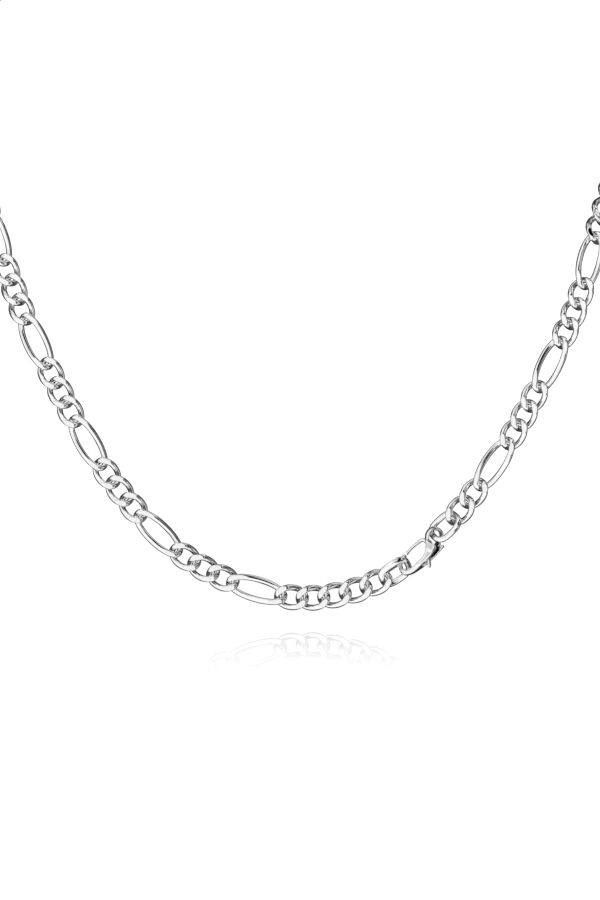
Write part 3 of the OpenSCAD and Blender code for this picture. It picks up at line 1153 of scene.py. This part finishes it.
    def card(self, nodes: NodeBuilder, way: Any, start: Vector, end: Vector,
             half: float) -> Socket:
        """The light that is left round one long black card.

        Args:
            nodes: The builder of the tree.
            way: The direction that is looked in.
            start: Direction of the card's first end.
            end: Direction of its other end.
            half: Half its width, in degrees.

        Returns:
            1 away from the card, and nearly 0 on it.
        """
        span = end - start
        along = nodes.vector("DOT_PRODUCT", nodes.vector("SUBTRACT", way, start), span, "Value")
        share = nodes.math("MAXIMUM", 0.0, nodes.math(
            "MINIMUM", 1.0, nodes.math("DIVIDE", along, span.length_squared)))
        near = nodes.vector("ADD", start, nodes.scaled(span, share))
        off = nodes.vector("DISTANCE", way, near, "Value")
        return self.left(nodes, self.fall(nodes, off, half, self.card_soft))

    def left(self, nodes: NodeBuilder, shade: Any) -> Socket:
        """The light that a card leaves where it shades so much."""
        return nodes.math("SUBTRACT", 1.0, nodes.math("MULTIPLY", shade, self.card_dark))

    def arch(self, nodes: NodeBuilder, way: Any) -> Socket:
        """The light that is left round the black arch over the camera's right.

        Args:
            nodes: The builder of the tree.
            way: The direction that is looked in.

        Returns:
            1 away from the arch, and nearly 0 on it.
        """
        middle = self.towards(*self.arch_middle)
        right = self.towards(self.arch_middle[0] + 90.0, 0.0)
        up = right.cross(-middle).normalized()
        off = nodes.math("DEGREES", nodes.math(
            "ARCCOSINE", nodes.vector("DOT_PRODUCT", way, middle, "Value")))
        turn = nodes.math("DEGREES", nodes.math(
            "ARCTAN2", nodes.vector("DOT_PRODUCT", way, up, "Value"),
            nodes.vector("DOT_PRODUCT", way, right, "Value")))
        shades = []
        for value, (low, high) in ((off, self.arch_away), (turn, self.arch_turn)):
            centred = nodes.math("ABSOLUTE", nodes.math("SUBTRACT", value, (low + high) / 2))
            shades.append(self.eased(nodes, centred, (high - low) / 2, self.card_soft))
        return self.left(nodes, nodes.math("MULTIPLY", *shades))

    @staticmethod
    def eased(nodes: NodeBuilder, value: Any, edge: float, soft: float) -> Socket:
        """1 below an edge and 0 above it, with a soft step between."""
        return nodes.ranged(value, (edge - soft / 2, edge + soft / 2), (1.0, 0.0),
                            interpolation_type="SMOOTHSTEP")

    def fall(self, nodes: NodeBuilder, chord: Any, half: float, soft: float) -> Socket:
        """1 nearer than so many degrees, and 0 further away, for a distance between directions."""
        return self.eased(nodes, chord, math.radians(half), math.radians(soft))

    @staticmethod
    def ramp(nodes: NodeBuilder, value: Any, stops: Outline) -> Socket:
        """A grey that follows a value through stops.

        Args:
            nodes: The builder of the tree.
            value: The value, from 0 to 1.
            stops: Angle in degrees, out of half a turn, and grey at each stop.

        Returns:
            The colour socket.
        """
        band = nodes.add("ShaderNodeValToRGB", {0: value})
        marks = band.color_ramp.elements
        for mark, (angle, grey) in zip(marks, (stops[0], stops[-1])):
            mark.position, mark.color = angle / HALF_TURN, (grey, grey, grey, 1.0)
        for angle, grey in stops[1:-1]:
            marks.new(angle / HALF_TURN).color = (grey, grey, grey, 1.0)
        return band.outputs["Color"]

    def camera(self) -> None:
        """Sets the camera straight in front, level with the picture's middle."""
        lens = bpy.data.cameras.new("camera")
        lens.sensor_width = self.sensor
        lens.lens = self.sensor * self.camera_far / self.frame_tall
        lens.clip_start, lens.clip_end = self.clip
        eye = new_object("camera", lens)
        eye.location = (0.0, (self.front_y - self.camera_far) * MM, self.middle_z * MM)
        eye.rotation_euler = (math.pi / 2, 0.0, 0.0)
        bpy.context.scene.camera = eye

    def build(self) -> None:
        """Sets up the floor, the light and the camera."""
        self.floor()
        self.surround()
        self.camera()
        bpy.context.scene.view_settings.view_transform = "Standard"
        log.info("studio: floor, surround and camera")


def main() -> None:
    """Builds the necklace round its frame."""
    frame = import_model()
    Studio().build()
    Chain().build()
    Clasp().build(frame)


if __name__ == "__main__":
    main()
